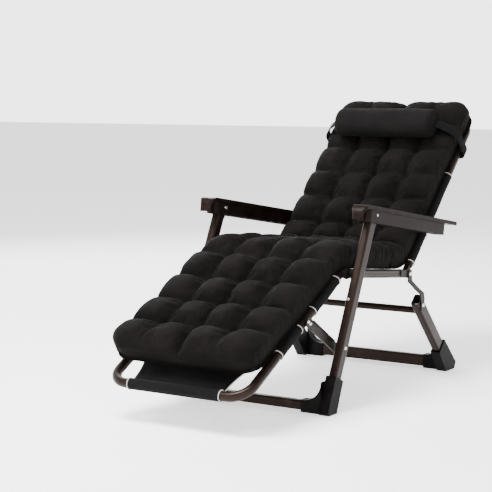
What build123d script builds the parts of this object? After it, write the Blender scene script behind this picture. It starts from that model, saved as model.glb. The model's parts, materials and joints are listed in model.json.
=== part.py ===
"""Padded folding lounge chair with a linked footrest: one closed frame linkage, slings and cushions.

The chair faces -Y and +Z is up. Every hinge axis runs along X, so the frame is laid out in side
view, as points (y, z), and then given its place across the chair.
"""

import os
from math import cos, radians, sin

from build123d import *

# Driving dimensions, in millimetres.
Y_CENTRE = 46.75  # side-view y of the middle of the chair's length
LEG_X = 292.0  # middle plane of the front legs, rear legs and armrests
RAIL_X = 245.0  # middle plane of the seat, back and footrest tubes
LEG_WIDE = 28.0  # leg tube across the chair
LEG_DEEP = 42.0  # front leg tube fore and aft
REAR_LEG_DEEP = 48.0
LEG_CORNER = 8.0
LEG_WALL = 1.5
TUBE_R = 15.0
TUBE_WALL = 1.5
EYE_R = 14.0  # hinge eye at the end of a tube
EYE_HALF = 14.0
EYE_REACH = 36.0  # from a hinge axis to the start of its tube
BOLT_R = 4.0
BOLT_CLEAR = 0.3
PLATE = 3.0
PLATE_GAP = 0.5
FOOT_WALL = 4.0
SLING_T = 3.0
CUSHION_LOW = 17.0  # underside of a cushion above its tube plane
CUSHION_TOP = 80.0
CUSHION_HALF = 258.0
BEVEL = 0.466  # rise over run of the cushions' mitre at the seat and back hinge

# Side-view points (y, z) of the linkage.
SEAT_PIVOT = (-138.0, 416.6)
KNEE = (-170.0, 420.0)
BACK_HINGE = (287.0, 371.0)
FRONT_FOOT = (-336.0, 0.0)
ARM_PIVOT = (-50.5, 600.0)
REAR_FOOT = (555.0, 0.0)
REAR_PIVOT = (301.8, 264.3)
STRUT_PIVOT = (-243.0, 196.0)
BACK_DIR = (0.72292, 0.69093)
REST_DIR = (-0.8805, -0.474)
ARM_SLOPE = -9.0

BACK_LENGTH = 762.0
REST_LENGTH = 640.0
STRUT_AT = 264.0  # along the footrest tube from the knee
LOCK_AT = 195.0  # along the back tube from its hinge


def step(origin, direction, along, up=0.0):
    """A side-view point `along` a direction and `up` on its upper side."""
    dy, dz = direction
    side = 1 if dy > 0 else -1
    return (origin[0] + dy * along - side * dz * up, origin[1] + dz * along + side * dy * up)


def unit(start, end):
    """The side-view direction from one point to another."""
    dy, dz = end[0] - start[0], end[1] - start[1]
    size = (dy * dy + dz * dz) ** 0.5
    return (dy / size, dz / size)


def place(x, point):
    """A side-view point as a point in space."""
    return (x, point[0] - Y_CENTRE, point[1])


def side_plane(x):
    """The side-view plane at x: its own x is +Y and its own y is +Z."""
    return Plane(origin=(x, -Y_CENTRE, 0), x_dir=(0, 1, 0), z_dir=(1, 0, 0))


def line_plane(x, origin, direction, along=0.0):
    """A plane square to a side-view line, its own x across the chair."""
    point = step(origin, direction, along)
    return Plane(origin=place(x, point), x_dir=(1, 0, 0), z_dir=(0, *direction))


def deck_plane(x, origin, direction):
    """Side-view plane with its own x along a tube and its own y on the tube's upper side."""
    flip = 1 if direction[0] > 0 else -1
    return Plane(origin=place(x, origin), x_dir=(0, *direction), z_dir=(flip, 0, 0))


def mirrored(part, label):
    """The same piece on the other side of the chair."""
    with BuildPart() as other:
        add(mirror(part, about=Plane.YZ))
    other.part.label = label
    return other.part


def write(name, part):
    """Labels a finished piece and writes it to its own file."""
    part.label = name
    export_step(part, f"parts/{name}.step")


def write_pair(name, part):
    """Writes a piece of the left side and its mirror image on the right."""
    write(f"{name}_left", part)
    write(f"{name}_right", mirrored(part, f"{name}_right"))


def both_sides(part):
    """One node with the piece and its mirror image."""
    with BuildPart() as pair:
        add(part)
        add(mirror(part, about=Plane.YZ))
    return pair.part


def leg_tube(x, start, end, low, deep):
    """Flat-sided leg tube with rounded corners, open at both ends."""
    direction = unit(start, end)
    length = ((end[0] - start[0]) ** 2 + (end[1] - start[1]) ** 2) ** 0.5
    with BuildPart() as tube:
        with BuildSketch(line_plane(x, start, direction, low)):
            RectangleRounded(LEG_WIDE, deep, LEG_CORNER)
            RectangleRounded(
                LEG_WIDE - 2 * LEG_WALL,
                deep - 2 * LEG_WALL,
                LEG_CORNER - LEG_WALL,
                mode=Mode.SUBTRACT,
            )
        extrude(amount=length - low)
    return tube.part


def round_tube(x, origin, direction, start, end):
    """Straight round tube along a side-view line."""
    with BuildPart() as tube:
        with BuildSketch(line_plane(x, origin, direction, start)):
            Circle(TUBE_R)
            Circle(TUBE_R - TUBE_WALL, mode=Mode.SUBTRACT)
        extrude(amount=end - start)
    return tube.part


def end_bow(origin, direction, start, end, bend):
    """Tube that joins the two side rails round the end of the back or the footrest."""
    deck = Plane(origin=place(0, origin), x_dir=(1, 0, 0), z_dir=(0, -direction[1], direction[0]))
    sign = 1 if deck.y_dir.dot(Vector(0, *direction)) > 0 else -1
    with BuildPart() as bow:
        with BuildLine(deck) as path:
            FilletPolyline(
                (-RAIL_X, sign * start),
                (-RAIL_X, sign * end),
                (RAIL_X, sign * end),
                (RAIL_X, sign * start),
                radius=bend,
            )
        with BuildSketch(Plane(path.line @ 0, z_dir=path.line % 0)):
            Circle(TUBE_R)
            Circle(TUBE_R - TUBE_WALL, mode=Mode.SUBTRACT)
        sweep(path=path.line)
    return bow.part


def hinge_eye(origin, direction):
    """Pressed end fitting of a tube: an eye round the hinge bolt and a shank in the tube."""
    with BuildPart() as eye:
        with BuildSketch(side_plane(RAIL_X - EYE_HALF)):
            with Locations(origin):
                Circle(EYE_R)
        extrude(amount=2 * EYE_HALF)
        with BuildSketch(line_plane(RAIL_X, origin, direction)):
            RectangleRounded(20, 22, 4)
        extrude(amount=EYE_REACH)
        with BuildSketch(line_plane(RAIL_X, origin, direction, EYE_REACH - 1)):
            Circle(TUBE_R - TUBE_WALL - 0.1)
        extrude(amount=23)
        with BuildSketch(side_plane(RAIL_X - EYE_HALF - 1)):
            with Locations(origin):
                Circle(BOLT_R + BOLT_CLEAR)
        extrude(amount=2 * EYE_HALF + 2, mode=Mode.SUBTRACT)
    return eye.part


def hinge_plates(origin, direction, reach):
    """Two flat plates that hold a hinge bolt, welded to the flanks of the seat rail."""
    with BuildPart() as plates:
        for x in (RAIL_X + TUBE_R + PLATE_GAP, RAIL_X - TUBE_R - PLATE_GAP - PLATE):
            deck = side_plane(x)
            with BuildSketch(deck):
                with Locations(origin):
                    Circle(TUBE_R)
                with BuildLine():
                    Polyline(
                        step(origin, direction, 0, -TUBE_R),
                        step(origin, direction, reach, -TUBE_R + 3),
                        step(origin, direction, reach, TUBE_R - 3),
                        step(origin, direction, 0, TUBE_R),
                        close=True,
                    )
                make_face()
                with Locations(origin):
                    Circle(BOLT_R, mode=Mode.SUBTRACT)
            extrude(amount=PLATE)
    return plates.part


def hinge_bolt(origin, x_low, x_high, radius=BOLT_R, head_r=8.0, head_t=4.0):
    """Bolt across a hinge with a low domed head on each end."""
    with BuildPart() as bolt:
        with BuildSketch(side_plane(x_low)):
            with Locations(origin):
                Circle(radius)
        extrude(amount=x_high - x_low)
        for x, out in ((x_high, 1), (x_low, -1)):
            with BuildSketch(side_plane(x)):
                with Locations(origin):
                    Circle(head_r)
            extrude(amount=out * head_t, taper=20)
    return bolt.part


def disc(origin, x_low, x_high, outer, inner):
    """Washer or spacer round a hinge axis."""
    with BuildPart() as ring:
        with BuildSketch(side_plane(x_low)):
            with Locations(origin):
                Circle(outer)
                Circle(inner, mode=Mode.SUBTRACT)
        extrude(amount=x_high - x_low)
    return ring.part


def toothed_disc(origin, x_low, x_high, outer, inner, teeth):
    """Adjuster hub: a disc with small square teeth round its rim."""
    with BuildPart() as hub:
        with BuildSketch(side_plane(x_low)):
            with Locations(origin):
                Circle(outer)
                with PolarLocations(outer, teeth):
                    Rectangle(3.6, 3.2)
                Circle(inner, mode=Mode.SUBTRACT)
        extrude(amount=x_high - x_low)
    return hub.part


def solid_bar(low_x, high_x, centre, size_y, size_z, corner, wall):
    """Straight tube across the chair."""
    with BuildPart() as bar:
        with BuildSketch(side_plane(low_x)):
            with Locations(centre):
                RectangleRounded(size_y, size_z, corner)
                RectangleRounded(size_y - 2 * wall, size_z - 2 * wall, corner - wall, mode=Mode.SUBTRACT)
        extrude(amount=high_x - low_x)
    return bar.part


def leg_core(x, start, end, low, deep):
    """The full outer shape of a leg tube, for cutting its foot cover."""
    direction = unit(start, end)
    with BuildPart() as core:
        with BuildSketch(line_plane(x, start, direction, low)):
            RectangleRounded(LEG_WIDE, deep, LEG_CORNER)
        extrude(amount=260)
    return core.part


def foot_cover(outline, bar, bar_y, bar_z, gusset, core):
    """Moulded boot over the corner of a leg and its ground bar, with a curved web inboard."""
    outer = LEG_X + LEG_WIDE / 2 + FOOT_WALL
    inner = LEG_X - LEG_WIDE / 2 - FOOT_WALL
    top, reach = gusset
    with BuildPart() as boot:
        with BuildSketch(side_plane(inner)):
            with BuildLine():
                Polyline(*outline, close=True)
            make_face()
        extrude(amount=outer - inner)
        with BuildSketch(Plane(origin=(0, bar[0] - Y_CENTRE + bar_y / 2 + FOOT_WALL, 0),
                               x_dir=(1, 0, 0), z_dir=(0, -1, 0))):
            with BuildLine():
                Line((inner + 2, 0), (inner - reach, 0))
                Line((inner - reach, 0), (inner - reach, bar[1] + bar_z / 2 + FOOT_WALL))
                ThreePointArc(
                    (inner - reach, bar[1] + bar_z / 2 + FOOT_WALL),
                    (inner - 0.32 * reach, bar[1] + bar_z / 2 + 0.2 * (top - bar[1])),
                    (inner + 2, top),
                )
                Line((inner + 2, top), (inner + 2, 0))
            make_face()
        extrude(amount=bar_y + 2 * FOOT_WALL)
        add(core, mode=Mode.SUBTRACT)
        with BuildSketch(side_plane(0)):
            with Locations(bar):
                RectangleRounded(bar_y, bar_z, 8)
        extrude(amount=LEG_X + LEG_WIDE / 2, mode=Mode.SUBTRACT)
    return boot.part


def cushion(origin, direction, outline, half):
    """Plain closed solid of one quilted cushion section, laid out along its tube."""
    with BuildPart() as pad:
        with BuildSketch(deck_plane(0, origin, direction)):
            with BuildLine():
                Polyline(*outline, close=True)
            make_face()
        extrude(amount=half, both=True)
    return pad.part


def sling(origin, direction, start, end, level, half):
    """Flat sling panel between the tubes."""
    outline = [(start, level), (end, level), (end, level + SLING_T), (start, level + SLING_T)]
    return cushion(origin, direction, outline, half)


def rivets(points, x_low, x_high, radius):
    """Group of rivet heads that stand on one face."""
    with BuildPart() as group:
        with BuildSketch(side_plane(x_low)):
            with Locations(*points):
                Circle(radius)
        extrude(amount=x_high - x_low, taper=25)
    return group.part


def front_frame():
    """Front legs, their ground bar, boots and pins."""
    axis = unit(FRONT_FOOT, ARM_PIVOT)
    bar_centre = (FRONT_FOOT[0] + 9, 20.0)
    bar = solid_bar(-LEG_X + LEG_WIDE / 2, LEG_X - LEG_WIDE / 2, bar_centre, 28, 32, 8, 1.5)
    write("front_ground_bar", bar)
    inside = LEG_X - LEG_WIDE / 2
    outside = LEG_X + LEG_WIDE / 2
    shoulder = step(ARM_PIVOT, axis, -26)
    with BuildPart() as leg:
        add(leg_tube(LEG_X, FRONT_FOOT, shoulder, 12, LEG_DEEP))
        with BuildSketch(side_plane(inside)):
            with BuildLine():
                Polyline(
                    step(shoulder, axis, -8, -18),
                    step(shoulder, axis, 0, -18),
                    step(ARM_PIVOT, axis, -4, -12.5),
                    step(ARM_PIVOT, axis, -4, 12.5),
                    step(shoulder, axis, 0, 18),
                    step(shoulder, axis, -8, 18),
                    close=True,
                )
            make_face()
            with Locations(ARM_PIVOT):
                Circle(13)
        extrude(amount=LEG_WIDE)
        with BuildSketch(side_plane(inside - 1)):
            with Locations(ARM_PIVOT):
                Circle(BOLT_R + BOLT_CLEAR)
        extrude(amount=LEG_WIDE + 2, mode=Mode.SUBTRACT)
    write_pair("front_leg", leg.part)
    outline = [
        step(FRONT_FOOT, axis, 118, -LEG_DEEP / 2 - FOOT_WALL),
        step(FRONT_FOOT, axis, 118, LEG_DEEP / 2 + FOOT_WALL),
        step(FRONT_FOOT, axis, 34, LEG_DEEP / 2 + FOOT_WALL),
        (FRONT_FOOT[0] - 24, 6),
        (FRONT_FOOT[0] - 16, 0),
        (FRONT_FOOT[0] + 34, 0),
    ]
    core = leg_core(LEG_X, FRONT_FOOT, ARM_PIVOT, 12, LEG_DEEP)
    boot = foot_cover(outline, bar_centre, 28, 32, (102, 70), core)
    write_pair("front_foot", boot)
    pin = disc(SEAT_PIVOT, RAIL_X + TUBE_R + PLATE_GAP, inside, 6.0, 0.8)
    write("seat_pivot_pins", both_sides(pin))
    strut_pin = disc(STRUT_PIVOT, inside - 8.0, inside, 5.0, 0.8)
    write("strut_pivot_pins", both_sides(strut_pin))
    with BuildPart() as heads:
        add(rivets([STRUT_PIVOT], outside, outside + 2.5, 5.5))
        face = step(FRONT_FOOT, axis, 372, LEG_DEEP / 2)
        with BuildSketch(Plane(origin=place(LEG_X - 4, face), x_dir=(1, 0, 0), z_dir=(0, -axis[1], axis[0]))):
            Circle(5.0)
        extrude(amount=2.2, taper=25)
    write("front_leg_rivets", both_sides(heads.part))


def rear_frame():
    """Rear legs, their two cross bars and boots."""
    axis = unit(REAR_FOOT, REAR_PIVOT)
    top = step(REAR_FOOT, axis, 392)
    inside = LEG_X - LEG_WIDE / 2
    bar_centre = (REAR_FOOT[0] - 22, 25.0)
    write("rear_ground_bar", solid_bar(-inside, inside, bar_centre, 28, 42, 8, 1.5))
    cross = step(REAR_FOOT, axis, 334)
    write("rear_cross_bar", solid_bar(-inside, inside, cross, 24, 24, 11.9, 1.5))
    with BuildPart() as leg:
        add(leg_tube(LEG_X, REAR_FOOT, top, 24, REAR_LEG_DEEP))
        with BuildSketch(side_plane(inside - 1)):
            with Locations(REAR_PIVOT):
                Circle(BOLT_R + BOLT_CLEAR)
        extrude(amount=LEG_WIDE + 2, mode=Mode.SUBTRACT)
    write_pair("rear_leg", leg.part)
    outline = [
        step(REAR_FOOT, axis, 134, REAR_LEG_DEEP / 2 + FOOT_WALL + 1),
        step(REAR_FOOT, axis, 134, -REAR_LEG_DEEP / 2 - FOOT_WALL - 1),
        (REAR_FOOT[0] - 58, 0),
        (REAR_FOOT[0] + 14, 0),
        (REAR_FOOT[0] + 24, 24),
    ]
    core = leg_core(LEG_X, REAR_FOOT, REAR_PIVOT, 24, REAR_LEG_DEEP)
    boot = foot_cover(outline, bar_centre, 28, 42, (106, 64), core)
    write_pair("rear_foot", boot)


def seat():
    """Seat rails with their hinge plates, bolts, hubs, rear links, sling and cushion."""
    rail = unit(KNEE, BACK_HINGE)
    length = ((BACK_HINGE[0] - KNEE[0]) ** 2 + (BACK_HINGE[1] - KNEE[1]) ** 2) ** 0.5
    back_way = (-rail[0], -rail[1])
    outer = RAIL_X + TUBE_R + PLATE_GAP + PLATE
    inner = RAIL_X - TUBE_R - PLATE_GAP - PLATE
    inside = LEG_X - LEG_WIDE / 2
    write_pair("seat_rail", round_tube(RAIL_X, KNEE, rail, EYE_REACH, length - EYE_REACH))
    knee_plates = hinge_plates(KNEE, rail, 62)
    with BuildPart() as plates:
        add(knee_plates)
        with BuildSketch(side_plane(RAIL_X + TUBE_R)):
            with Locations(SEAT_PIVOT):
                Circle(6.3)
        extrude(amount=PLATE + 2, mode=Mode.SUBTRACT)
    write("knee_hinge_plates", both_sides(plates.part))
    write("back_hinge_plates", both_sides(hinge_plates(BACK_HINGE, back_way, 62)))
    write("knee_hinge_bolts", both_sides(hinge_bolt(KNEE, inner, outer, head_t=2.0)))
    write("back_hinge_bolts", both_sides(hinge_bolt(BACK_HINGE, inner, outer + 4.0, head_t=3.0)))
    hub = toothed_disc(KNEE, outer + 2.2, outer + 7.2, 15.0, 3.5, 18)
    write("knee_hubs", both_sides(hub))
    spacer = disc(step(SEAT_PIVOT, rail, 0), outer, inside - 0.5, 14.0, 6.3)
    write("seat_pivot_spacers", both_sides(spacer))
    link_out = LEG_X + LEG_WIDE / 2 + 0.5
    behind = Plane(origin=place(0, (BACK_HINGE[0] + 26, 0)), x_dir=(1, 0, 0), z_dir=(0, -1, 0))
    with BuildPart() as link:
        with BuildSketch(behind):
            with BuildLine():
                Polyline(
                    (outer, BACK_HINGE[1] + 14),
                    (outer, BACK_HINGE[1] - 26),
                    (link_out, BACK_HINGE[1] - 66),
                    (link_out, REAR_PIVOT[1] - 22),
                    (link_out + 4, REAR_PIVOT[1] - 22),
                    (link_out + 4, BACK_HINGE[1] - 64),
                    (outer + 4, BACK_HINGE[1] - 24),
                    (outer + 4, BACK_HINGE[1] + 14),
                    close=True,
                )
            make_face()
        extrude(amount=52)
        with BuildSketch(side_plane(outer - 1)):
            with BuildLine():
                Polyline(
                    (BACK_HINGE[0] - 13, BACK_HINGE[1] + 14),
                    (BACK_HINGE[0] + 13, BACK_HINGE[1] + 14),
                    (BACK_HINGE[0] + 15, BACK_HINGE[1] - 50),
                    (REAR_PIVOT[0] + 15, REAR_PIVOT[1] + 12),
                    (REAR_PIVOT[0] + 13, REAR_PIVOT[1] - 22),
                    (REAR_PIVOT[0] - 13, REAR_PIVOT[1] - 22),
                    (REAR_PIVOT[0] - 15, REAR_PIVOT[1] + 12),
                    (BACK_HINGE[0] - 13, BACK_HINGE[1] - 50),
                    close=True,
                )
            make_face()
            fillet(vertices(), 7)
        extrude(amount=60, mode=Mode.INTERSECT)
        with BuildSketch(side_plane(outer - 1)):
            with Locations(BACK_HINGE, REAR_PIVOT):
                Circle(BOLT_R)
        extrude(amount=60, mode=Mode.SUBTRACT)
    write_pair("rear_link", link.part)
    rear_bolt = disc(REAR_PIVOT, inside - 3.0, link_out + 4.0, BOLT_R, 0.6)
    with BuildPart() as bolts:
        add(rear_bolt)
        with BuildSketch(side_plane(link_out + 4.0)):
            with Locations(REAR_PIVOT):
                Circle(7)
        extrude(amount=2.5, taper=25)
    write("rear_pivot_bolts", both_sides(bolts.part))
    write("seat_sling", sling(KNEE, rail, 24, length - 24, -8, RAIL_X - TUBE_R - 8))
    top_end = CUSHION_TOP / BEVEL
    low_end = CUSHION_LOW / BEVEL
    outline = [
        (22, CUSHION_LOW),
        (length - low_end, CUSHION_LOW),
        (length - top_end, CUSHION_TOP),
        (22, CUSHION_TOP),
    ]
    write("seat_cushion", cushion(KNEE, rail, outline, CUSHION_HALF))


def back():
    """Back tubes, hinge eyes, lock pins, sling and cushion."""
    bow_from = BACK_LENGTH - 90
    write_pair("back_rail", round_tube(RAIL_X, BACK_HINGE, BACK_DIR, EYE_REACH, bow_from))
    write("back_top_tube", end_bow(BACK_HINGE, BACK_DIR, bow_from, BACK_LENGTH - TUBE_R, 70))
    write("back_hinge_eyes", both_sides(hinge_eye(BACK_HINGE, BACK_DIR)))
    lock = step(BACK_HINGE, BACK_DIR, LOCK_AT)
    arm_inner = LEG_X - 27.5
    write("armrest_lock_pins", both_sides(disc(lock, RAIL_X + TUBE_R + 0.2, arm_inner - 0.5, 7.0, 2.0)))
    write("back_sling", sling(BACK_HINGE, BACK_DIR, 70, bow_from - 2, -2, RAIL_X - TUBE_R - 0.3))
    outline = [
        (CUSHION_LOW / BEVEL, CUSHION_LOW),
        (BACK_LENGTH + 4, CUSHION_LOW),
        (BACK_LENGTH + 4, CUSHION_TOP),
        (CUSHION_TOP / BEVEL, CUSHION_TOP),
    ]
    write("back_cushion", cushion(BACK_HINGE, BACK_DIR, outline, CUSHION_HALF))


def head_pillow():
    """Bolster pillow and the strap that holds it round the back."""
    along, up, half = 588.0, 142.0, 192.0
    deck = deck_plane(-half, BACK_HINGE, BACK_DIR)
    with BuildPart() as pillow:
        with BuildSketch(deck):
            with Locations((along, up)):
                Ellipse(57, 51)
        extrude(amount=2 * half)
    write("head_pillow", pillow.part)
    strap_plane = Plane(
        origin=place(0, step(BACK_HINGE, BACK_DIR, along - 18)), x_dir=(1, 0, 0), z_dir=(0, *BACK_DIR)
    )
    rise = strap_plane.y_dir.dot(Vector(0, -BACK_DIR[1], BACK_DIR[0]))
    side = 266.0
    points = [(half + 1, up), (side, CUSHION_TOP + 14), (side, -20), (-side, -20),
              (-side, CUSHION_TOP + 14), (-half - 1, up)]
    with BuildPart() as strap:
        with BuildSketch(strap_plane):
            with BuildLine():
                inner_line = [(x, rise * v) for x, v in points]
                outer_line = [(half + 1, rise * (up + 2.6)), (side + 2, rise * (CUSHION_TOP + 15)),
                              (side + 2, rise * -22), (-side - 2, rise * -22),
                              (-side - 2, rise * (CUSHION_TOP + 15)), (-half - 1, rise * (up + 2.6))]
                Polyline(*inner_line, *reversed(outer_line), close=True)
            make_face()
        extrude(amount=36)
    write("pillow_strap", strap.part)


def footrest():
    """Footrest tubes, eyes, strut brackets, sling and cushion."""
    bow_from = REST_LENGTH - 84
    write_pair("footrest_rail", round_tube(RAIL_X, KNEE, REST_DIR, EYE_REACH, bow_from))
    write("footrest_front_tube", end_bow(KNEE, REST_DIR, bow_from, REST_LENGTH, 62))
    write("footrest_eyes", both_sides(hinge_eye(KNEE, REST_DIR)))
    write("footrest_sling", sling(KNEE, REST_DIR, 60, REST_LENGTH - 130, -2, RAIL_X - TUBE_R - 0.3))
    panel_end = REST_LENGTH - TUBE_R - 0.5
    write("footrest_front_panel", sling(KNEE, REST_DIR, REST_LENGTH - 129, panel_end, -2, 170))
    front = 578.0
    outline = [(22, CUSHION_LOW), (front, CUSHION_LOW), (front, CUSHION_TOP), (22, CUSHION_TOP)]
    write("footrest_cushion", cushion(KNEE, REST_DIR, outline, CUSHION_HALF))


def struts():
    """Flat struts from the front legs to the footrest rails."""
    top = step(KNEE, REST_DIR, STRUT_AT)
    direction = unit(STRUT_PIVOT, top)
    length = ((top[0] - STRUT_PIVOT[0]) ** 2 + (top[1] - STRUT_PIVOT[1]) ** 2) ** 0.5
    x_low = RAIL_X + TUBE_R + 5.0
    half = 16.0
    with BuildPart() as strut:
        with BuildSketch(side_plane(x_low)):
            with BuildLine():
                Polyline(
                    step(STRUT_PIVOT, direction, 0, -half),
                    step(STRUT_PIVOT, direction, length, -half),
                    step(STRUT_PIVOT, direction, length, half),
                    step(STRUT_PIVOT, direction, 0, half),
                    close=True,
                )
            make_face()
            with Locations(STRUT_PIVOT, top):
                Circle(half)
            with Locations(STRUT_PIVOT):
                Circle(5.3, mode=Mode.SUBTRACT)
        extrude(amount=PLATE)
        with BuildSketch(line_plane(x_low + 1.5 * PLATE, STRUT_PIVOT, direction, length / 2)):
            with Locations((0.8, 1.2 - half), (0.8, half - 1.2)):
                Rectangle(PLATE + 1.6, 2.4)
        extrude(amount=length / 2 - 16, both=True)
    write_pair("footrest_strut", strut.part)
    heads = [step(top, direction, -7), step(top, direction, 7)]
    bolts = rivets(heads, x_low + PLATE, x_low + PLATE + 3.5, 5.0)
    write("strut_bolts", both_sides(bolts))


def armrests():
    """Armrests: a wide top plate with a rounded nose over an open-bottomed skirt."""
    angle = radians(ARM_SLOPE)
    way = (cos(angle), sin(angle))
    nose = (-142.0, 643.0)
    total, plate_t = 716.0, 13.0
    wide, skirt_wide, skirt_t = 55.0, 46.0, 3.5
    skirt_start, skirt_end, skirt_deep = 37.0, 622.0, 41.0
    nose_r, nose_deep, nose_t = 32.0, 50.0, 4.5
    top = Plane(origin=place(LEG_X, nose), x_dir=(0, *way), z_dir=(0, -way[1], way[0]))
    side = Plane(origin=top.origin, x_dir=(0, *way), z_dir=(1, 0, 0))
    with BuildPart() as cap:
        with BuildSketch(side):
            with BuildLine():
                Line((total, 0), (nose_r, 0))
                RadiusArc((nose_r, 0), (0, -nose_r), -nose_r)
                Polyline((0, -nose_r), (0, -nose_deep), (nose_t, -nose_deep), (nose_t, -nose_r))
                RadiusArc((nose_t, -nose_r), (nose_r, -plate_t), nose_r - nose_t)
                Polyline((nose_r, -plate_t), (total, -plate_t), (total, 0))
            make_face()
        extrude(amount=wide / 2, both=True)
        with BuildSketch(top.offset(10)):
            with Locations((total / 2, 0)):
                RectangleRounded(total, wide, 20)
        extrude(amount=-nose_deep - 20, mode=Mode.INTERSECT)
    write_pair("armrest_cap", cap.part)
    under = top.offset(-plate_t)
    with BuildPart() as skirt:
        with BuildSketch(under):
            with Locations(((skirt_start + skirt_end) / 2, 0)):
                RectangleRounded(skirt_end - skirt_start, skirt_wide, 18)
                RectangleRounded(
                    skirt_end - skirt_start - 2 * skirt_t, skirt_wide - 2 * skirt_t, 14.5, mode=Mode.SUBTRACT
                )
        extrude(amount=-skirt_deep)
        with BuildSketch(side_plane(LEG_X - skirt_wide)):
            with Locations(ARM_PIVOT):
                Circle(BOLT_R)
        extrude(amount=2 * skirt_wide, mode=Mode.SUBTRACT)
    write_pair("armrest_skirt", skirt.part)
    with BuildPart() as bolt:
        with BuildSketch(side_plane(LEG_X - skirt_wide / 2)):
            with Locations(ARM_PIVOT):
                Circle(BOLT_R)
        extrude(amount=skirt_wide)
        with BuildSketch(side_plane(LEG_X - skirt_wide / 2)):
            with Locations(ARM_PIVOT):
                Circle(7)
        extrude(amount=-2, taper=20)
    write("armrest_pivot_bolts", both_sides(bolt.part))


def main():
    """Writes every piece."""
    os.makedirs("parts", exist_ok=True)
    front_frame()
    rear_frame()
    seat()
    back()
    head_pillow()
    footrest()
    struts()
    armrests()


main()
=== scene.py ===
"""Looks of the padded folding lounge chair: quilted cushion, slings, pillow, strap and materials."""

import json
from math import cos, pi, radians, sin

import bpy
import numpy as np
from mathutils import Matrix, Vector


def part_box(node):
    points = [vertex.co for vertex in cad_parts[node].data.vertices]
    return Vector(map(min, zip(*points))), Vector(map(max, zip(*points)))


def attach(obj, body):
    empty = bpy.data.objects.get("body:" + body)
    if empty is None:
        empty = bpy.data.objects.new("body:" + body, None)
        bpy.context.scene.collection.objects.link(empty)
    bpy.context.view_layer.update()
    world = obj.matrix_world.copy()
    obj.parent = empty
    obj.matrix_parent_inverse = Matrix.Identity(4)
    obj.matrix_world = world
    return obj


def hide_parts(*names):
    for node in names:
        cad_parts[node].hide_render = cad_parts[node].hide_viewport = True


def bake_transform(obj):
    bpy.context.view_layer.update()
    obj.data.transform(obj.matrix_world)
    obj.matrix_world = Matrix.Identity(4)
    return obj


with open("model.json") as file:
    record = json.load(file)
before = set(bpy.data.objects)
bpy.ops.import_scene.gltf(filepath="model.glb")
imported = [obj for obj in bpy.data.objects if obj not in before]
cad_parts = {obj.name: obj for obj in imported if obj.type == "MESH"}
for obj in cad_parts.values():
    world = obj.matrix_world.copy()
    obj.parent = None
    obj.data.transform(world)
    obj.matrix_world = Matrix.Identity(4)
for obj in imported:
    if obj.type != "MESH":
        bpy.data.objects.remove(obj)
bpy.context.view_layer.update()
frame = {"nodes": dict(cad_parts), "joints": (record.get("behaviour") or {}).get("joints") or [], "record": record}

# ---------------------------------------------------------------- places read from the frame
joints = {j["name"]: j for j in frame["joints"]}


def side_point(joint):
    """A hinge's place in side view, (y, z)."""
    return np.array(joints[joint]["pos_m"][1:])


def centre(node):
    """Middle of a CAD node's box."""
    low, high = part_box(node)
    return (low + high) / 2


KNEE = side_point("footrest_raise")
BACK_HINGE = side_point("back_recline")
BACK_DIR = -np.array(joints["pillow_slide"]["axis"][1:])
TUBE_R = (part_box("seat_rail_left")[1].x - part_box("seat_rail_left")[0].x) / 2
RAIL_X = centre("seat_rail_left").x
rest_rail = centre("footrest_rail_left")
REST_DIR = np.array((rest_rail.y, rest_rail.z)) - KNEE
REST_DIR = REST_DIR / np.linalg.norm(REST_DIR)
SEAT_LENGTH = float(np.linalg.norm(BACK_HINGE - KNEE))
SEAT_DIR = (BACK_HINGE - KNEE) / SEAT_LENGTH
REST_LENGTH = 0.640  # from the knee to the footrest's front tube


def upper(direction):
    """Unit vector square to a tube line, on the sitter's side."""
    side = 1.0 if direction[0] > 0 else -1.0
    return np.array((-side * direction[1], side * direction[0]))


def spot(origin, direction, along, up=0.0, x=0.0):
    """Point in space at a place along a tube line and above it."""
    y, z = np.array(origin) + along * np.array(direction) + up * upper(direction)
    return Vector((x, y, z))


# ---------------------------------------------------------------- materials
def new_material(name):
    """Empty node material with a Principled shader."""
    material = bpy.data.materials.new(name)
    material.use_nodes = True
    tree = material.node_tree
    shader = tree.nodes["Principled BSDF"]
    return material, tree, shader


def object_coords(tree, scale=(1, 1, 1)):
    """Places on the object itself, in metres, stretched by a scale."""
    coords = tree.nodes.new("ShaderNodeTexCoord")
    mapping = tree.nodes.new("ShaderNodeMapping")
    mapping.inputs["Scale"].default_value = scale
    tree.links.new(coords.outputs["Object"], mapping.inputs["Vector"])
    return mapping.outputs["Vector"]


def noise(tree, vector, scale, detail=4.0, rough=0.55):
    """Noise texture as a 0 to 1 value."""
    node = tree.nodes.new("ShaderNodeTexNoise")
    node.inputs["Scale"].default_value = scale
    node.inputs["Detail"].default_value = detail
    node.inputs["Roughness"].default_value = rough
    tree.links.new(vector, node.inputs["Vector"])
    return node.outputs["Fac"]


def ramp(tree, value, stops):
    """Colour ramp from (place, colour) stops."""
    node = tree.nodes.new("ShaderNodeValToRGB")
    elements = node.color_ramp.elements
    for element, (place, colour) in zip(elements, (stops[0], stops[-1])):
        element.position = place
        element.color = (*colour, 1)
    for place, colour in stops[1:-1]:
        element = elements.new(place)
        element.color = (*colour, 1)
    tree.links.new(value, node.inputs["Fac"])
    return node.outputs["Color"]


def remap(tree, value, low, high):
    """Spreads a 0 to 1 value over a range."""
    node = tree.nodes.new("ShaderNodeMapRange")
    node.inputs["To Min"].default_value = low
    node.inputs["To Max"].default_value = high
    tree.links.new(value, node.inputs["Value"])
    return node.outputs["Result"]


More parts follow.
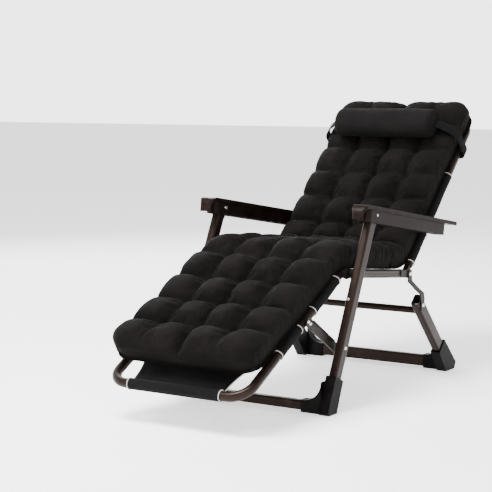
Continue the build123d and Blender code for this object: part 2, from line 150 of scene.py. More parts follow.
def bump(tree, shader, height, distance, strength=1.0, below=None):
    """Bump from a height, on top of another bump if one is given."""
    node = tree.nodes.new("ShaderNodeBump")
    node.inputs["Distance"].default_value = distance
    node.inputs["Strength"].default_value = strength
    tree.links.new(height, node.inputs["Height"])
    if below is not None:
        tree.links.new(below, node.inputs["Normal"])
    tree.links.new(node.outputs["Normal"], shader.inputs["Normal"])
    return node.outputs["Normal"]


def weave(tree, vector, threads):
    """Over-and-under cloth weave as a height, from two sets of threads."""
    waves = []
    for axis in ("X", "Y", "Z"):
        node = tree.nodes.new("ShaderNodeTexWave")
        node.wave_type = "BANDS"
        node.bands_direction = axis
        node.inputs["Scale"].default_value = threads
        node.inputs["Distortion"].default_value = 0.6
        node.inputs["Detail"].default_value = 1.0
        tree.links.new(vector, node.inputs["Vector"])
        waves.append(node.outputs["Fac"])
    total = waves[0]
    for wave in waves[1:]:
        node = tree.nodes.new("ShaderNodeMath")
        node.operation = "ADD"
        tree.links.new(total, node.inputs[0])
        tree.links.new(wave, node.inputs[1])
        total = node.outputs[0]
    return total


def fabric(name, dark, light, threads, sheen, roughness=0.85, thread_depth=0.0002):
    """Woven cloth: thread bump, soft creases, uneven dye and a sheen on grazing light."""
    material, tree, shader = new_material(name)
    vector = object_coords(tree)
    cloud = noise(tree, vector, 9.0, 5.0)
    tree.links.new(ramp(tree, cloud, [(0.3, dark), (0.72, light)]), shader.inputs["Base Color"])
    tree.links.new(remap(tree, noise(tree, vector, 60.0), roughness - 0.08, roughness + 0.08),
                   shader.inputs["Roughness"])
    shader.inputs["Sheen Weight"].default_value = sheen
    shader.inputs["Sheen Roughness"].default_value = 0.45
    shader.inputs["Sheen Tint"].default_value = (0.62, 0.58, 0.56, 1)
    shader.inputs["Specular IOR Level"].default_value = 0.03
    creases = bump(tree, shader, noise(tree, vector, 26.0, 6.0, 0.6), 0.0022, 0.55)
    bump(tree, shader, weave(tree, vector, threads), thread_depth, 0.8, creases)
    return material


def painted_tube(name, colour, roughness=0.34):
    """Metallic powder-coated tube with fine orange-peel and slightly worn high spots."""
    material, tree, shader = new_material(name)
    vector = object_coords(tree)
    wear = noise(tree, vector, 14.0, 6.0, 0.6)
    worn = tuple(min(1.0, c * 1.9 + 0.01) for c in colour)
    tree.links.new(ramp(tree, wear, [(0.35, colour), (0.62, tuple(c * 1.25 for c in colour)), (0.8, worn)]),
                   shader.inputs["Base Color"])
    tree.links.new(remap(tree, noise(tree, vector, 35.0), roughness - 0.07, roughness + 0.1),
                   shader.inputs["Roughness"])
    shader.inputs["Metallic"].default_value = 0.45
    shader.inputs["Specular IOR Level"].default_value = 0.08
    shader.inputs["Coat Weight"].default_value = 0.03
    shader.inputs["Coat Roughness"].default_value = 0.22
    bump(tree, shader, noise(tree, vector, 900.0, 2.0), 0.00006, 0.6)
    return material


def moulded(name, colour, roughness, coat, grain=420.0, depth=0.00012):
    """Moulded plastic with a fine grain and faint scuffs."""
    material, tree, shader = new_material(name)
    vector = object_coords(tree)
    scuff = noise(tree, vector, 22.0, 7.0, 0.65)
    tree.links.new(ramp(tree, scuff, [(0.4, colour), (0.75, tuple(c * 1.6 + 0.004 for c in colour))]),
                   shader.inputs["Base Color"])
    tree.links.new(remap(tree, scuff, roughness - 0.06, roughness + 0.12), shader.inputs["Roughness"])
    shader.inputs["Specular IOR Level"].default_value = 0.035
    shader.inputs["Coat Weight"].default_value = coat
    shader.inputs["Coat Roughness"].default_value = 0.12
    bump(tree, shader, noise(tree, vector, grain, 3.0), depth, 0.7)
    return material


def steel(name):
    """Zinc-plated steel, finely brushed."""
    material, tree, shader = new_material(name)
    vector = object_coords(tree, (1, 1, 14))
    grain = noise(tree, vector, 160.0, 3.0)
    tree.links.new(ramp(tree, grain, [(0.3, (0.5, 0.49, 0.47)), (0.7, (0.78, 0.77, 0.75))]),
                   shader.inputs["Base Color"])
    tree.links.new(remap(tree, grain, 0.22, 0.42), shader.inputs["Roughness"])
    shader.inputs["Metallic"].default_value = 1.0
    bump(tree, shader, grain, 0.00005, 0.5)
    return material


CLOTH_SHEEN = 0.012
CUSHION = fabric("cushion_cloth", (0.0028, 0.0024, 0.0022), (0.0052, 0.0045, 0.0041), 520.0, CLOTH_SHEEN)
PILLOW = fabric("pillow_cloth", (0.0040, 0.0038, 0.0037), (0.0062, 0.0058, 0.0056), 560.0, CLOTH_SHEEN)
SLING = fabric(
    "sling_cloth", (0.0036, 0.0036, 0.0038), (0.0058, 0.0058, 0.0061), 300.0, CLOTH_SHEEN, 0.7, 0.0003
)
WEBBING = fabric(
    "webbing_cloth", (0.0030, 0.0028, 0.0028), (0.0048, 0.0046, 0.0046), 260.0, CLOTH_SHEEN, 0.75, 0.0004
)
PIPING = fabric("pale_piping", (0.30, 0.29, 0.28), (0.42, 0.41, 0.39), 420.0, 0.05, 0.8)
TUBE = painted_tube("bronze_tube", (0.0120, 0.0072, 0.0056))
FITTING = painted_tube("fitting_paint", (0.0100, 0.0068, 0.0056), 0.4)
FOOT = moulded("foot_plastic_black", (0.0017, 0.0014, 0.0013), 0.42, 0.006)
ARMREST = moulded("armrest_plastic_brown", (0.0046, 0.0022, 0.0016), 0.33, 0.008)
HUB = moulded("hub_plastic_black", (0.0045, 0.004, 0.0038), 0.5, 0.01)
STEEL = steel("zinc_steel")

SLOT_MATERIAL = {
    "frame_tube": TUBE,
    "fitting_steel": FITTING,
    "foot_plastic": FOOT,
    "armrest_plastic": ARMREST,
    "hub_plastic": HUB,
    "hardware": STEEL,
    "cushion_fabric": CUSHION,
    "pillow_fabric": PILLOW,
    "sling_fabric": SLING,
    "strap_webbing": WEBBING,
}


def dress_cad_nodes():
    """Gives every CAD node the material of its slot."""
    for row in frame["record"]["subparts"]:
        node = frame["nodes"][row["node"]]
        node.data.materials.clear()
        node.data.materials.append(SLOT_MATERIAL[row["material_slot"]])


# ---------------------------------------------------------------- mesh helpers
def mesh_object(name, vertices, faces, material):
    """New smooth-shaded mesh object in the scene."""
    mesh = bpy.data.meshes.new(name)
    mesh.from_pydata([tuple(v) for v in vertices], [], faces)
    mesh.validate()
    mesh.update()
    piece = bpy.data.objects.new(name, mesh)
    bpy.context.scene.collection.objects.link(piece)
    mesh.materials.append(material)
    for polygon in mesh.polygons:
        polygon.use_smooth = True
    return piece


def grid_faces(rows, columns, start=0, closed_rows=False, closed_columns=False, flip=False):
    """Quads of a grid whose vertices run along its columns first."""
    faces = []
    for i in range(rows if closed_rows else rows - 1):
        for j in range(columns if closed_columns else columns - 1):
            a = start + i * columns + j
            b = start + i * columns + (j + 1) % columns
            c = start + ((i + 1) % rows) * columns + (j + 1) % columns
            d = start + ((i + 1) % rows) * columns + j
            faces.append((a, d, c, b) if flip else (a, b, c, d))
    return faces


def shell_faces(rows, columns):
    """Faces of a closed sheet: the upper grid, the lower grid and the wall round their border."""
    size = rows * columns
    faces = grid_faces(rows, columns) + grid_faces(rows, columns, size, flip=True)
    border = list(range(columns)) + [i * columns + columns - 1 for i in range(1, rows)]
    border += [(rows - 1) * columns + i for i in range(columns - 2, -1, -1)]
    border += [i * columns for i in range(rows - 2, 0, -1)]
    for i, first in enumerate(border):
        second = border[(i + 1) % len(border)]
        faces.append((second, first, first + size, second + size))
    return faces


def pipe_faces(rings, sides):
    """Faces of a thick open pipe: the outer skin, the inner skin and the rims that join them."""
    size = rings * sides
    last = (rings - 1) * sides
    faces = grid_faces(rings, sides, closed_columns=True)
    faces += grid_faces(rings, sides, size, closed_columns=True, flip=True)
    for j in range(sides):
        k = (j + 1) % sides
        faces.append((k, j, j + size, k + size))
        faces.append((last + j, last + k, last + k + size, last + j + size))
    return faces


def smoothed(values, reach):
    """Running average over a window that reaches this many places each way."""
    kernel = np.hanning(2 * reach + 1)
    kernel /= kernel.sum()
    return np.convolve(np.pad(values, reach, mode="edge"), kernel, mode="valid")


def apply_modifiers(piece):
    """Bakes an object's modifiers into its mesh."""
    depsgraph = bpy.context.evaluated_depsgraph_get()
    mesh = bpy.data.meshes.new_from_object(piece.evaluated_get(depsgraph))
    old = piece.data
    piece.modifiers.clear()
    piece.data = mesh
    bpy.data.meshes.remove(old)
    for polygon in mesh.polygons:
        polygon.use_smooth = True


def tube_along(name, points, radius, material, closed=False, sides=10):
    """Round cord-like tube through points in space, with capped ends."""
    points = [Vector(p) for p in points]
    count = len(points)
    rings = []
    side = None
    for i, point in enumerate(points):
        before = points[i - 1] if (i or closed) else point
        after = points[(i + 1) % count] if (closed or i < count - 1) else point
        along = (after - before).normalized()
        if side is None:
            side = along.orthogonal().normalized()
        side = (side - along * side.dot(along)).normalized()
        other = along.cross(side)
        for angle in np.linspace(0, 2 * pi, sides, False):
            rings.append(point + radius * (cos(angle) * side + sin(angle) * other))
    faces = grid_faces(count, sides, closed_rows=closed, closed_columns=True)
    if not closed:
        faces.append(tuple(reversed(range(sides))))
        faces.append(tuple(range((count - 1) * sides, count * sides)))
    return mesh_object(name, rings, faces, material)


def finish_soft(piece, body):
    """Puts a piece on its body."""
    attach(piece, body)


# ---------------------------------------------------------------- the cushion's run from footrest to head
NORMAL_REACH = 0.012  # how far each way the run's direction is taken


class Run:
    """Smooth side-view line along the tops of the tubes, through the knee and the back hinge."""

    def __init__(self, lift, rest_end, back_end, knee_bend, hinge_bend, steps=10):
        rest = spot(KNEE, REST_DIR, rest_end, lift)
        top = spot(BACK_HINGE, BACK_DIR, back_end, lift)
        knee = self.crossing(KNEE, REST_DIR, SEAT_DIR, lift)
        hinge = self.crossing(BACK_HINGE, SEAT_DIR, BACK_DIR, lift)
        corners = [np.array((rest.y, rest.z)), knee, hinge, np.array((top.y, top.z))]
        points = [corners[0]]
        for corner, before, after, bend in (
            (corners[1], corners[0], corners[2], knee_bend),
            (corners[2], corners[1], corners[3], hinge_bend),
        ):
            way_in = (before - corner) / np.linalg.norm(before - corner)
            way_out = (after - corner) / np.linalg.norm(after - corner)
            for t in np.linspace(0, 1, steps):
                points.append(corner + bend * ((1 - t) ** 2 * way_in + t**2 * way_out))
        points.append(corners[3])
        self.points = np.array(points)
        gaps = np.linalg.norm(np.diff(self.points, axis=0), axis=1)
        self.reach = np.concatenate([[0], np.cumsum(gaps)])
        self.length = float(self.reach[-1])
        self.knee = self.nearest(knee)
        self.hinge = self.nearest(hinge)

    @staticmethod
    def crossing(origin, first, second, lift):
        """Where two lifted tube lines meet."""
        a = origin + lift * upper(first)
        b = origin + lift * upper(second)
        matrix = np.array([first, -second]).T
        t = np.linalg.solve(matrix, b - a)
        return a + t[0] * first

    def nearest(self, point):
        """Distance along the run of the place nearest to a point."""
        fine = np.linspace(0, self.length, 2000)
        gap = [np.linalg.norm(self.place(s) - point) for s in fine]
        return float(fine[int(np.argmin(gap))])

    def place(self, s):
        """Point at a distance along the run."""
        return np.array([np.interp(s, self.reach, line) for line in self.points.T])

    def at(self, s):
        """Place and sitter-side normal at a distance along the run."""
        ahead, behind = min(s + NORMAL_REACH, self.length), max(s - NORMAL_REACH, 0)
        dy, dz = self.place(ahead) - self.place(behind)
        size = (dy * dy + dz * dz) ** 0.5
        return self.place(s), np.array((-dz / size, dy / size))


COLUMNS = 4
PAD_HALF = 0.253
FLARE = 0.05  # share by which the free ends spread
PAD_LIFT = 0.0175  # underside of the cushion above the tube plane
SEAM_RISE = 0.005  # edge seam above the underside
PUFF_TOP = 0.080  # full loft of a puff above the edge seam
ROUND = 0.062  # plan width of the rounded side, from the top of a puff to the edge seam
REST_END = 0.580
FRONT_LIFT = 0.024  # the stiff front end stands clear of the footrest tubes
BACK_END = 0.764
CELL_STEPS = 14  # mesh steps across one quilted cell
EDGE_STEPS = 9  # mesh steps round a free edge
QUILT_ROW = 0.128  # length of one quilted cell
QUILT_FLOOR = 0.34  # share of the loft that a seam keeps
SEAM_SHARP = 2.6
TUFT_SHARP = 60
TUFT_DEPTH = 0.22
FLARE_REACH = 0.26
FRONT_LIFT_REACH = 0.34
PUCKER_HEIGHT, PUCKER_RING, PUCKER_WIDTH = 0.0024, 0.026, 0.018
SIDE_GATHER, END_GATHER = 0.0012, 0.0016  # depth of the fine wrinkles in the free edges
SCALLOP = 0.011  # how far the sides pull in at each row's seam
SEAM_DRIFT = 0.25  # share of the random shift that a row's middle takes
UNDER_SWELL = 0.003
KNEE_BEND, HINGE_BEND = 0.060, 0.100  # how far from each joint the cushion starts to curve
SEAT_AFTER_KNEE, SEAT_BEFORE_HINGE = 0.085, 0.105  # seams at the ends of the seat section
KNEE_BLEND = 0.075  # half length of cloth about the knee; the points it sets are not used
HINGE_BLEND_FROM, HINGE_BLEND_TO = -0.11, 0.13  # reach of cloth about the back hinge; the points they set are not used


def dome(a, sharp=2.4):
    """Side profile of one puff, from 0 at its seams to 1 in its middle."""
    return np.power(np.clip(1 - np.power(np.abs(a), sharp), 0, 1), 0.5)


def ease(t):
    """Smooth step from 0 to 1, level at both ends."""
    t = min(1.0, max(0.0, t))
    return t * t * (3 - 2 * t)


def side_profile(phi):
    """Plan and height shares of the rounded side at an angle, 0 on top and a quarter turn at the seam."""
    plan = sin(phi) ** 0.85 + 0.17 * sin(2 * phi) - 0.2 * (1 - cos(phi)) ** 3
    return plan, max(0.0, cos(phi)) ** 0.75


def round_corner(plan, other):
    """Plan share of one rounded side, pulled in where the other side rounds too."""
    return plan * (1 - min(other, 1.0) ** 2 / 2) ** 0.5


def side_stations(length, steps, open_from, open_to):
    """Places along one direction: (place, angle into the rounded edge, -1 or 1 for which edge)."""
    first = ROUND if open_from else 0.0
    last = length - ROUND if open_to else length
    stations = []
    if open_from:
        stations += [(0.0, (1 - k / EDGE_STEPS) * pi / 2, -1) for k in range(EDGE_STEPS)]
    stations += [(place, 0.0, 0) for place in np.linspace(first, last, steps)]
    if open_to:
        stations += [(length, (k + 1) / EDGE_STEPS * pi / 2, 1) for k in range(EDGE_STEPS)]
    return stations


def quilt_share(column, row, rows, side_angle, end_fade):
    """Share of the full loft at a place in the quilt, in columns and rows from its corner."""
    near_column, near_row = round(column), round(row)
    outer = column < 0.5 or column > COLUMNS - 0.5
    across = 1.0 if outer else dome(2 * (column % 1.0) - 1, SEAM_SHARP)
    if near_column in (1, COLUMNS - 1) and not outer:
        across += (1 - across) * end_fade
    end_row = end_fade > 0 and (row < 0.5 or row > rows - 0.5)
    along = 1.0 if end_row else dome(2 * (row % 1.0) - 1, SEAM_SHARP)
    along += (1 - along) * ease(side_angle / (pi / 2) * 1.15)
    tuft = np.exp(-((column - near_column) ** 2 * TUFT_SHARP + (row - near_row) ** 2 * TUFT_SHARP))
    if near_column in (0, COLUMNS) or (near_row in (0, rows) and end_fade > 0):
        tuft = 0.0
    share = QUILT_FLOOR + (1 - QUILT_FLOOR) * (0.22 * across + 0.22 * along + 0.56 * across * along)
    return share * (1 - TUFT_DEPTH * tuft)


def quilted_pad(name, run, rows, s_from, s_to, open_from, open_to, seed):
    """One quilted section: closed, puffed between its seams, rounded at its free edges."""
    length = s_to - s_from
    across = side_stations(2 * PAD_HALF, COLUMNS * CELL_STEPS + 1, True, True)
    along = side_stations(length, rows * CELL_STEPS + 1, open_from, open_to)
    random = np.random.default_rng(seed)
    phases = random.uniform(0, 2 * pi, (rows + 1, COLUMNS + 1))
    loft = random.uniform(0.94, 1.05, (rows + 1, COLUMNS + 1))
    shift = random.uniform(-0.05, 0.05, (rows + 2, COLUMNS + 1))
    top, under, held = [], [], []
    for place_s, angle_s, end in along:
        plan_s, rise_s = side_profile(angle_s)
        for place_u, angle_u, side in across:
            plan_u, rise_u = side_profile(angle_u)
            p = round_corner(plan_u, plan_s) if end else plan_u
            q = round_corner(plan_s, plan_u) if side else plan_s
            x = (place_u - PAD_HALF) if side == 0 else side * (PAD_HALF - ROUND + ROUND * p)
            s = place_s
            if end == -1:
                s = ROUND - ROUND * q
            elif end == 1:
                s = length - ROUND + ROUND * q

            # place in the quilt, in cells, and -1 to 1 inside one cell
            column = (x / PAD_HALF + 1) / 2 * COLUMNS
            column = min(max(column, 0.001), COLUMNS - 0.001)
            row = min(max(s / length * rows, 0.001), rows - 0.001)
            i, j = min(int(row), rows - 1), min(int(column), COLUMNS - 1)
            a = 2 * (column % 1.0) - 1
            b = 2 * (row % 1.0) - 1
            end_fade = 0.0
            if open_from:
                end_fade = max(end_fade, 1 - ease(s / (length / rows) * 0.9))
            if open_to:
                end_fade = max(end_fade, 1 - ease((length - s) / (length / rows) * 0.9))

            # height: the loft of the cell and the small puckers round each tuft
            share = quilt_share(column, row, rows, angle_u, end_fade)
            share *= 1 + (loft[i, j] - 1) * dome(a) * dome(b)
            rise = rise_u * rise_s
            height = SEAM_RISE + PUFF_TOP * share * rise
            near_row, near_col = int(round(row)), int(round(column))
            dr = (row - near_row) * length / rows
            du = (column - near_col) * 2 * PAD_HALF / COLUMNS
            radius = (dr * dr + du * du) ** 0.5
            pucker = PUCKER_HEIGHT * np.exp(-(((radius - PUCKER_RING) / PUCKER_WIDTH) ** 2))
            pucker *= cos(9 * np.arctan2(dr, du) + phases[min(near_row, rows), near_col])
            if 0 < near_col < COLUMNS:
                height += pucker * rise

            # plan: gathers and scallops in the sides, and the spread of the free ends
            gather = SIDE_GATHER * sin(s * 330 + 5 * sin(31 * s)) * ease(angle_u / 1.2) * rise_u ** 0.3
            gather += END_GATHER * sin(x * 290 + 4 * sin(27 * x)) * ease(angle_s / 1.1) * rise_s ** 0.3
            scallop = SCALLOP * (1 - dome(b, 2.0)) * (rise_u ** 0.6 if side else 0.0) * (1 - end_fade)
            x -= side * (scallop - gather)
            free = min(s if open_from else 1.0, length - s if open_to else 1.0)
            x *= 1 + FLARE * ease(1 - free / FLARE_REACH)
            wave = shift[i + 1, j] * sin(pi * (column % 1.0))
            drift = 0.0 if end else wave * length / rows * SEAM_DRIFT * dome(b)
            point, normal = run.at(s_from + s + drift)
            lift = PAD_LIFT + FRONT_LIFT * ease(1 - (s_from + s) / FRONT_LIFT_REACH)
            y, z = point + normal * (lift + height)
            top.append((x, y, z))
            y, z = point + normal * (lift - UNDER_SWELL * rise)
            under.append((x, y, z))
            seam = (abs(a) > 0.9 and 0.5 < column < COLUMNS - 0.5) or (abs(b) > 0.9 and side == 0)
            held.append(seam or rise < 0.35 or (place_s in (0.0, length) and not end))
    piece = mesh_object(name, top + under, shell_faces(len(along), len(across)), CUSHION)
    group = piece.vertex_groups.new(name="held")
    pinned = [i for i, hold in enumerate(held) if hold] + list(range(len(top), 2 * len(top)))
    group.add(pinned, 1.0, "REPLACE")
    return piece


def puff(piece, pressure, slack, cap, frames=18):
    """Inflates a pad by cloth simulation between its held seams, then fixes the result."""
    rest = np.array([v.co for v in piece.data.vertices])
    cloth = piece.modifiers.new("Cloth", "CLOTH")
    settings = cloth.settings
    settings.quality = 5
    settings.mass = 0.25
    settings.use_pressure = True
    settings.uniform_pressure_force = pressure
    settings.shrink_min = -slack
    settings.tension_stiffness = 18
    settings.compression_stiffness = 14
    settings.bending_stiffness = 0.4
    settings.vertex_group_mass = "held"
    settings.effector_weights.gravity = 0
    cloth.collision_settings.use_collision = False
    cloth.point_cache.frame_start = 1
    cloth.point_cache.frame_end = frames
    scene = bpy.context.scene
    for step_number in range(1, frames + 1):
        scene.frame_set(step_number)
    depsgraph = bpy.context.evaluated_depsgraph_get()
    moved = np.array([v.co for v in piece.evaluated_get(depsgraph).data.vertices])
    shift = moved - rest
    size = np.linalg.norm(shift, axis=1, keepdims=True)
    shift *= np.minimum(1.0, cap / np.maximum(size, 1e-9))
    piece.modifiers.clear()
    piece.data.vertices.foreach_set("co", (rest + shift).astype(np.float32).ravel())
    piece.data.update()
    scene.frame_set(1)


def subdivide(piece):
    """One level of smooth subdivision, applied."""
    modifier = piece.modifiers.new("Smooth", "SUBSURF")
    modifier.levels = 1
    modifier.render_levels = 1
    apply_modifiers(piece)


def make_cushions():
    """The long quilted cushion, sewn in three sections laid along the frame's tube line; only the seat section is
    put on its body.
    """
    run = Run(0.0, REST_END, BACK_END, KNEE_BEND, HINGE_BEND)
    seat_from = run.knee + SEAT_AFTER_KNEE
    seat_to = run.hinge - SEAT_BEFORE_HINGE
    rest_rows = round(seat_from / QUILT_ROW)
    seat_rows = max(2, round((seat_to - seat_from) / QUILT_ROW))
    back_rows = round((run.length - seat_to) / QUILT_ROW)
    sections = (
        ("footrest_pad", rest_rows, 0.0, seat_from, True, False, 3),
        ("seat_pad", seat_rows, seat_from, seat_to, False, False, 5),
        ("back_pad", back_rows, seat_to, run.length, False, True, 8),
    )
    pads = {}
    for name, rows, s_from, s_to, open_from, open_to, seed in sections:
        pad = quilted_pad(name, run, rows, s_from, s_to, open_from, open_to, seed)
        puff(pad, pressure=3.0, slack=0.06, cap=0.012)
        subdivide(pad)
        pads[name] = pad
    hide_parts("footrest_cushion")
    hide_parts("seat_cushion")
    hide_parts("back_cushion")
    knee_start = spot(KNEE, REST_DIR, KNEE_BLEND)
    knee_end = spot(KNEE, SEAT_DIR, KNEE_BLEND)
    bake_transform(pads["footrest_pad"])
    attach(pads["seat_pad"], "seat_frame")
    hinge_start = spot(BACK_HINGE, SEAT_DIR, HINGE_BLEND_FROM)
    hinge_end = spot(BACK_HINGE, BACK_DIR, HINGE_BLEND_TO)
    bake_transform(pads["back_pad"])


# ---------------------------------------------------------------- slings
SLING_T = 0.0018
FRONT_HALF = 0.166  # half width of the front panel at the front tube
PIPING_R = 0.0016
HEM_R = 0.0017
SLEEVE_SIDES = 28
SLEEVE_INSIDE = 0.0004  # gap between a tube and the cloth round it


def cloth_sheet(name, origin, direction, stations, level, body, node, sag=0.0):
    """Sling panel: stations are (along, half width); its edges carry pale piping."""
    stations = np.array(stations)
    alongs = np.linspace(stations[0, 0], stations[-1, 0], 60)
    halves = smoothed(np.interp(alongs, stations[:, 0], stations[:, 1]), 4)
    columns = 33
    vertices = []
    for side in (1, -1):
        for along, half in zip(alongs, halves):
            for u in np.linspace(-1, 1, columns):
                dip = sag * (1 - u * u)
                vertices.append(spot(origin, direction, along, level - dip + side * SLING_T / 2, u * half))
    piece = mesh_object(name, vertices, shell_faces(len(alongs), columns), SLING)
    finish_soft(piece, body)
    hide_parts(node)
    for sign, side_name in ((1, "left"), (-1, "right")):
        line = [spot(origin, direction, a, level, sign * (h + 0.001)) for a, h in zip(alongs, halves)]
        edge = tube_along(f"{name}_piping_{side_name}", line, PIPING_R, PIPING)
        finish_soft(edge, body)


def sewn_sleeve(name, place, rings, outside, ripple, body, hems):
    """Cloth pipe round a tube with a pale hem at each end; place(t, angle, radius) gives its points."""
    vertices = []
    for radius, wave in ((TUBE_R + outside, ripple), (TUBE_R + SLEEVE_INSIDE, 0.0)):
        for i in range(rings):
            t = i / (rings - 1)
            for j in range(SLEEVE_SIDES):
                angle = 2 * pi * j / SLEEVE_SIDES
                vertices.append(place(t, angle, radius + wave * sin(3 * angle + 9 * t)))
    piece = mesh_object(name, vertices, pipe_faces(rings, SLEEVE_SIDES), SLING)
    finish_soft(piece, body)
    for label, t in zip(hems, (0, 1)):
        ring = [place(t, angle, TUBE_R + 0.002) for angle in np.linspace(0, 2 * pi, 32, False)]
        hem = tube_along(f"{name}_hem_{label}", ring, HEM_R, PIPING, closed=True, sides=8)
        finish_soft(hem, body)


def rail_sleeve(name, origin, direction, start, end, sign, body):
    """Sling sleeve sewn round a side rail."""

    def place(t, angle, radius):
        along = start + t * (end - start)
        return spot(origin, direction, along, radius * sin(angle), sign * RAIL_X + radius * cos(angle))

    sewn_sleeve(name, place, 26, 0.0022, 0.0005, body, ("start", "end"))


def front_sleeve():
    """The front panel's turn-round on the footrest's front tube."""

    def place(t, angle, radius):
        along = REST_LENGTH + radius * cos(angle)
        return spot(KNEE, REST_DIR, along, radius * sin(angle), -FRONT_HALF + 2 * FRONT_HALF * t)

    sewn_sleeve("front_sleeve", place, 40, 0.0024, 0.0, "footrest_frame", ("right", "left"))


def make_slings():
    """Sling panels and their sleeves on the back and footrest tubes."""
    wide = RAIL_X - 0.006
    cloth_sheet(
        "back_panel", BACK_HINGE, BACK_DIR,
        [
            (0.05, wide), (0.19, wide), (0.205, 0.205), (0.225, wide), (0.46, wide),
            (0.50, 0.215), (0.62, 0.215), (0.70, 0.19), (0.742, 0.18),
        ],
        0.0, "back_frame", "back_sling",
    )
    cloth_sheet(
        "footrest_panel", KNEE, REST_DIR,
        [
            (0.03, wide), (0.205, wide), (0.235, 0.205), (0.28, 0.205),
            (0.30, wide), (0.43, wide), (0.449, 0.230),
        ],
        0.0, "footrest_frame", "footrest_sling",
    )
    cloth_sheet(
        "front_panel", KNEE, REST_DIR,
        [(0.450 + 0.172 * t, FRONT_HALF + 0.064 * (1 - t) ** 2.2) for t in np.linspace(0, 1, 12)],
        0.0, "footrest_frame", "footrest_front_panel",
    )
    cloth_sheet(
        "seat_panel", KNEE, SEAT_DIR,
        [(0.02, 0.222), (0.12, 0.214), (SEAT_LENGTH - 0.12, 0.214), (SEAT_LENGTH - 0.02, 0.222)],
        -0.006, "seat_frame", "seat_sling", sag=0.012,
    )
    rails = (
        ("back_sleeve_low", BACK_HINGE, BACK_DIR, 0.050, 0.185, "back_frame"),
        ("back_sleeve_high", BACK_HINGE, BACK_DIR, 0.225, 0.463, "back_frame"),
        ("footrest_sleeve_high", KNEE, REST_DIR, 0.038, 0.205, "footrest_frame"),
        ("footrest_sleeve_low", KNEE, REST_DIR, 0.300, 0.430, "footrest_frame"),
    )
    for sign, side_name in ((1, "left"), (-1, "right")):
        for name, origin, direction, start, end, body in rails:
            rail_sleeve(f"{name}_{side_name}", origin, direction, start, end, sign, body)
    front_sleeve()


# ---------------------------------------------------------------- pillow and strap
def make_pillow():
    """Bolster pillow with flat piped ends and a soft, slightly uneven body."""
    low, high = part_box("head_pillow")
    half = (high.x - low.x) / 2 - 0.002
    middle = centre("head_pillow")
    forward = Vector((0, *BACK_DIR))
    up = Vector((0, *upper(BACK_DIR)))
    sides, rings = 56, 64
    round_over = 0.012
    along_r, up_r = 0.0555, 0.0495
    vertices = []
    for i in range(rings):
        t = i / (rings - 1)
        x = -half * cos(pi * t)
        edge = max(0.0, 1 - (half - abs(x)) / round_over)
        shrink = 1 - 0.16 * (1 - (1 - edge**2) ** 0.5)
        belly = 1 + 0.012 * cos(pi * x / (2 * half)) + 0.006 * sin(23 * x)
        for j in range(sides):
            angle = 2 * pi * j / sides
            soft = 1 + 0.006 * sin(2 * angle + 11 * x) + 0.004 * sin(5 * angle - 17 * x)
            flat = 1 - 0.06 * max(0.0, -sin(angle)) ** 3
            a = along_r * shrink * belly * soft * cos(angle)
            b = up_r * shrink * belly * soft * flat * sin(angle)
            vertices.append(Vector((middle.x + x, middle.y, middle.z)) + forward * a + up * b)
    faces = grid_faces(rings, sides, closed_columns=True)
    for end in (0, rings - 1):
        ring = vertices[end * sides:(end + 1) * sides]
        middle_point = sum(ring, Vector()) / sides
        out = -1 if end == 0 else 1
        previous = list(range(end * sides, (end + 1) * sides))
        for share, bulge in ((0.82, 0.0025), (0.5, 0.005), (0.18, 0.006)):
            start = len(vertices)
            for point in ring:
                vertices.append(middle_point + (point - middle_point) * share + Vector((out * bulge, 0, 0)))
            current = list(range(start, start + sides))
            for j in range(sides):
                k = (j + 1) % sides
                quad = (previous[j], previous[k], current[k], current[j])
                faces.append(quad if end == rings - 1 else tuple(reversed(quad)))
            previous = current
        faces.append(tuple(previous) if end == rings - 1 else tuple(reversed(previous)))
    piece = mesh_object("bolster_pillow", vertices, faces, PILLOW)
    subdivide(piece)
    finish_soft(piece, "headrest")
    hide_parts("head_pillow")
    for label, end in (("right", 1), ("left", rings - 2)):
        ring = vertices[end * sides:(end + 1) * sides]
        welt = tube_along(f"pillow_welt_{label}", ring, 0.0016, PILLOW, closed=True, sides=8)
        finish_soft(welt, "headrest")


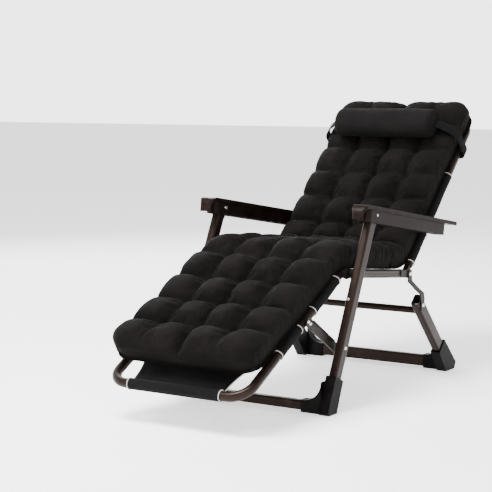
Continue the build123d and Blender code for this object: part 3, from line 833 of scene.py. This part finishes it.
def make_strap():
    """Webbing strap from the pillow's ends round the cushion's edges and the back of the chair."""
    pillow_mid = centre("head_pillow")
    width = 0.037
    half = (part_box("head_pillow")[1].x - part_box("head_pillow")[0].x) / 2
    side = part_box("pillow_strap")[1].x + 0.006
    along = float(np.dot(np.array((pillow_mid.y, pillow_mid.z)) - BACK_HINGE, BACK_DIR))
    rise = float(np.dot(np.array((pillow_mid.y, pillow_mid.z)) - BACK_HINGE, upper(BACK_DIR)))
    corners = [
        (half - 0.004, rise), (half + 0.026, rise - 0.006), (side - 0.024, rise - 0.030),
        (side - 0.002, rise - 0.060), (side, 0.03), (side, -0.012), (side - 0.012, -0.0215),
        (0.12, -0.0205), (0, -0.020),
    ]
    points = np.array(corners + [(-x, v) for x, v in reversed(corners[:-1])])
    curve = np.concatenate([[0], np.cumsum(np.linalg.norm(np.diff(points, axis=0), axis=1))])
    fine = np.linspace(0, curve[-1], 260)
    xs = smoothed(np.interp(fine, curve, points[:, 0]), 7)
    vs = smoothed(np.interp(fine, curve, points[:, 1]), 7)
    thick = 0.0011
    profile = [(-width / 2, 0), (-width / 2 + 0.001, thick), (0, thick * 1.3), (width / 2 - 0.001, thick),
               (width / 2, 0), (width / 2 - 0.001, -thick), (0, -thick * 1.3), (-width / 2 + 0.001, -thick)]
    vertices = []
    for i in range(len(xs)):
        before, after = max(i - 1, 0), min(i + 1, len(xs) - 1)
        dx, dv = xs[after] - xs[before], vs[after] - vs[before]
        size = (dx * dx + dv * dv) ** 0.5
        nx, nv = dv / size, -dx / size
        for a, n in profile:
            vertices.append(spot(BACK_HINGE, BACK_DIR, along + a, vs[i] + n * nv, xs[i] + n * nx))
    count = len(profile)
    faces = grid_faces(len(xs), count, closed_columns=True)
    faces.append(tuple(reversed(range(count))))
    faces.append(tuple(range((len(xs) - 1) * count, len(xs) * count)))
    piece = mesh_object("pillow_webbing", vertices, faces, WEBBING)
    finish_soft(piece, "headrest")
    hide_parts("pillow_strap")


# ---------------------------------------------------------------- stage
AZIMUTH, ELEVATION = 32.75, 6.2
LENS, SENSOR = 105.1, 36.0
DISTANCE = 4.955
LOOK_AT = Vector((-0.2207, -0.0468, 0.4652))


def make_camera():
    """Camera at the reference view: from the front, on the sitter's left, a little above."""
    a, e = radians(AZIMUTH), radians(ELEVATION)
    back = Vector((sin(a) * cos(e), -cos(a) * cos(e), sin(e)))
    camera_data = bpy.data.cameras.new("camera")
    camera_data.lens = LENS
    camera_data.sensor_width = SENSOR
    camera = bpy.data.objects.new("camera", camera_data)
    camera.location = LOOK_AT + back * DISTANCE
    camera.rotation_euler = back.to_track_quat("Z", "Y").to_euler()
    bpy.context.scene.collection.objects.link(camera)
    bpy.context.scene.camera = camera


def area_light(name, place, aim, size, power):
    """Soft box at a place, facing its aim."""
    data = bpy.data.lights.new(name, "AREA")
    data.shape = "RECTANGLE"
    data.size, data.size_y = size
    data.energy = power
    light = bpy.data.objects.new(name, data)
    light.location = place
    light.rotation_euler = (Vector(place) - Vector(aim)).to_track_quat("Z", "Y").to_euler()
    bpy.context.scene.collection.objects.link(light)


def make_stage():
    """Pale floor, soft boxes and a pale surround."""
    size = 30.0
    corners = [(-size, -size, 0), (size, -size, 0), (size, size, 0), (-size, size, 0)]
    floor = mesh_object("floor", corners, [(0, 1, 2, 3)], floor_paint())
    floor.location.z = -0.0005
    middle = (0, 0, 0.4)
    area_light("key", (-0.6, -1.6, 3.6), middle, (1.9, 1.9), 520)
    area_light("fill", (3.4, -3.8, 1.6), middle, (1.6, 2.4), 50)
    area_light("rim", (-3.4, 2.6, 2.4), middle, (2.0, 1.6), 200)
    world = bpy.data.worlds.new("surround")
    world.use_nodes = True
    tree = world.node_tree
    coords = tree.nodes.new("ShaderNodeTexCoord")
    split = tree.nodes.new("ShaderNodeSeparateXYZ")
    tree.links.new(coords.outputs["Generated"], split.inputs[0])
    stops = [(0.0, (1, 1, 1)), (0.22, (1, 1, 1)), (0.55, (0.2, 0.2, 0.2)), (1, (0.12, 0.12, 0.12))]
    sky = ramp(tree, split.outputs["Z"], stops)
    background = tree.nodes["Background"]
    tree.links.new(sky, background.inputs["Color"])
    background.inputs["Strength"].default_value = 3.8
    bpy.context.scene.world = world


def floor_paint():
    """Pale matt floor that also glows a little, so that it stays even."""
    material, tree, shader = new_material("floor_paint")
    vector = object_coords(tree)
    stops = [(0.0, (0.88, 0.88, 0.88)), (1.0, (0.92, 0.92, 0.92))]
    tree.links.new(ramp(tree, noise(tree, vector, 1.5), stops), shader.inputs["Base Color"])
    shader.inputs["Roughness"].default_value = 0.9
    shader.inputs["Specular IOR Level"].default_value = 0.1
    shader.inputs["Emission Color"].default_value = (1, 1, 1, 1)
    shader.inputs["Emission Strength"].default_value = 0.9
    return material


make_camera()
make_stage()
dress_cad_nodes()
make_cushions()
make_slings()
make_pillow()
make_strap()
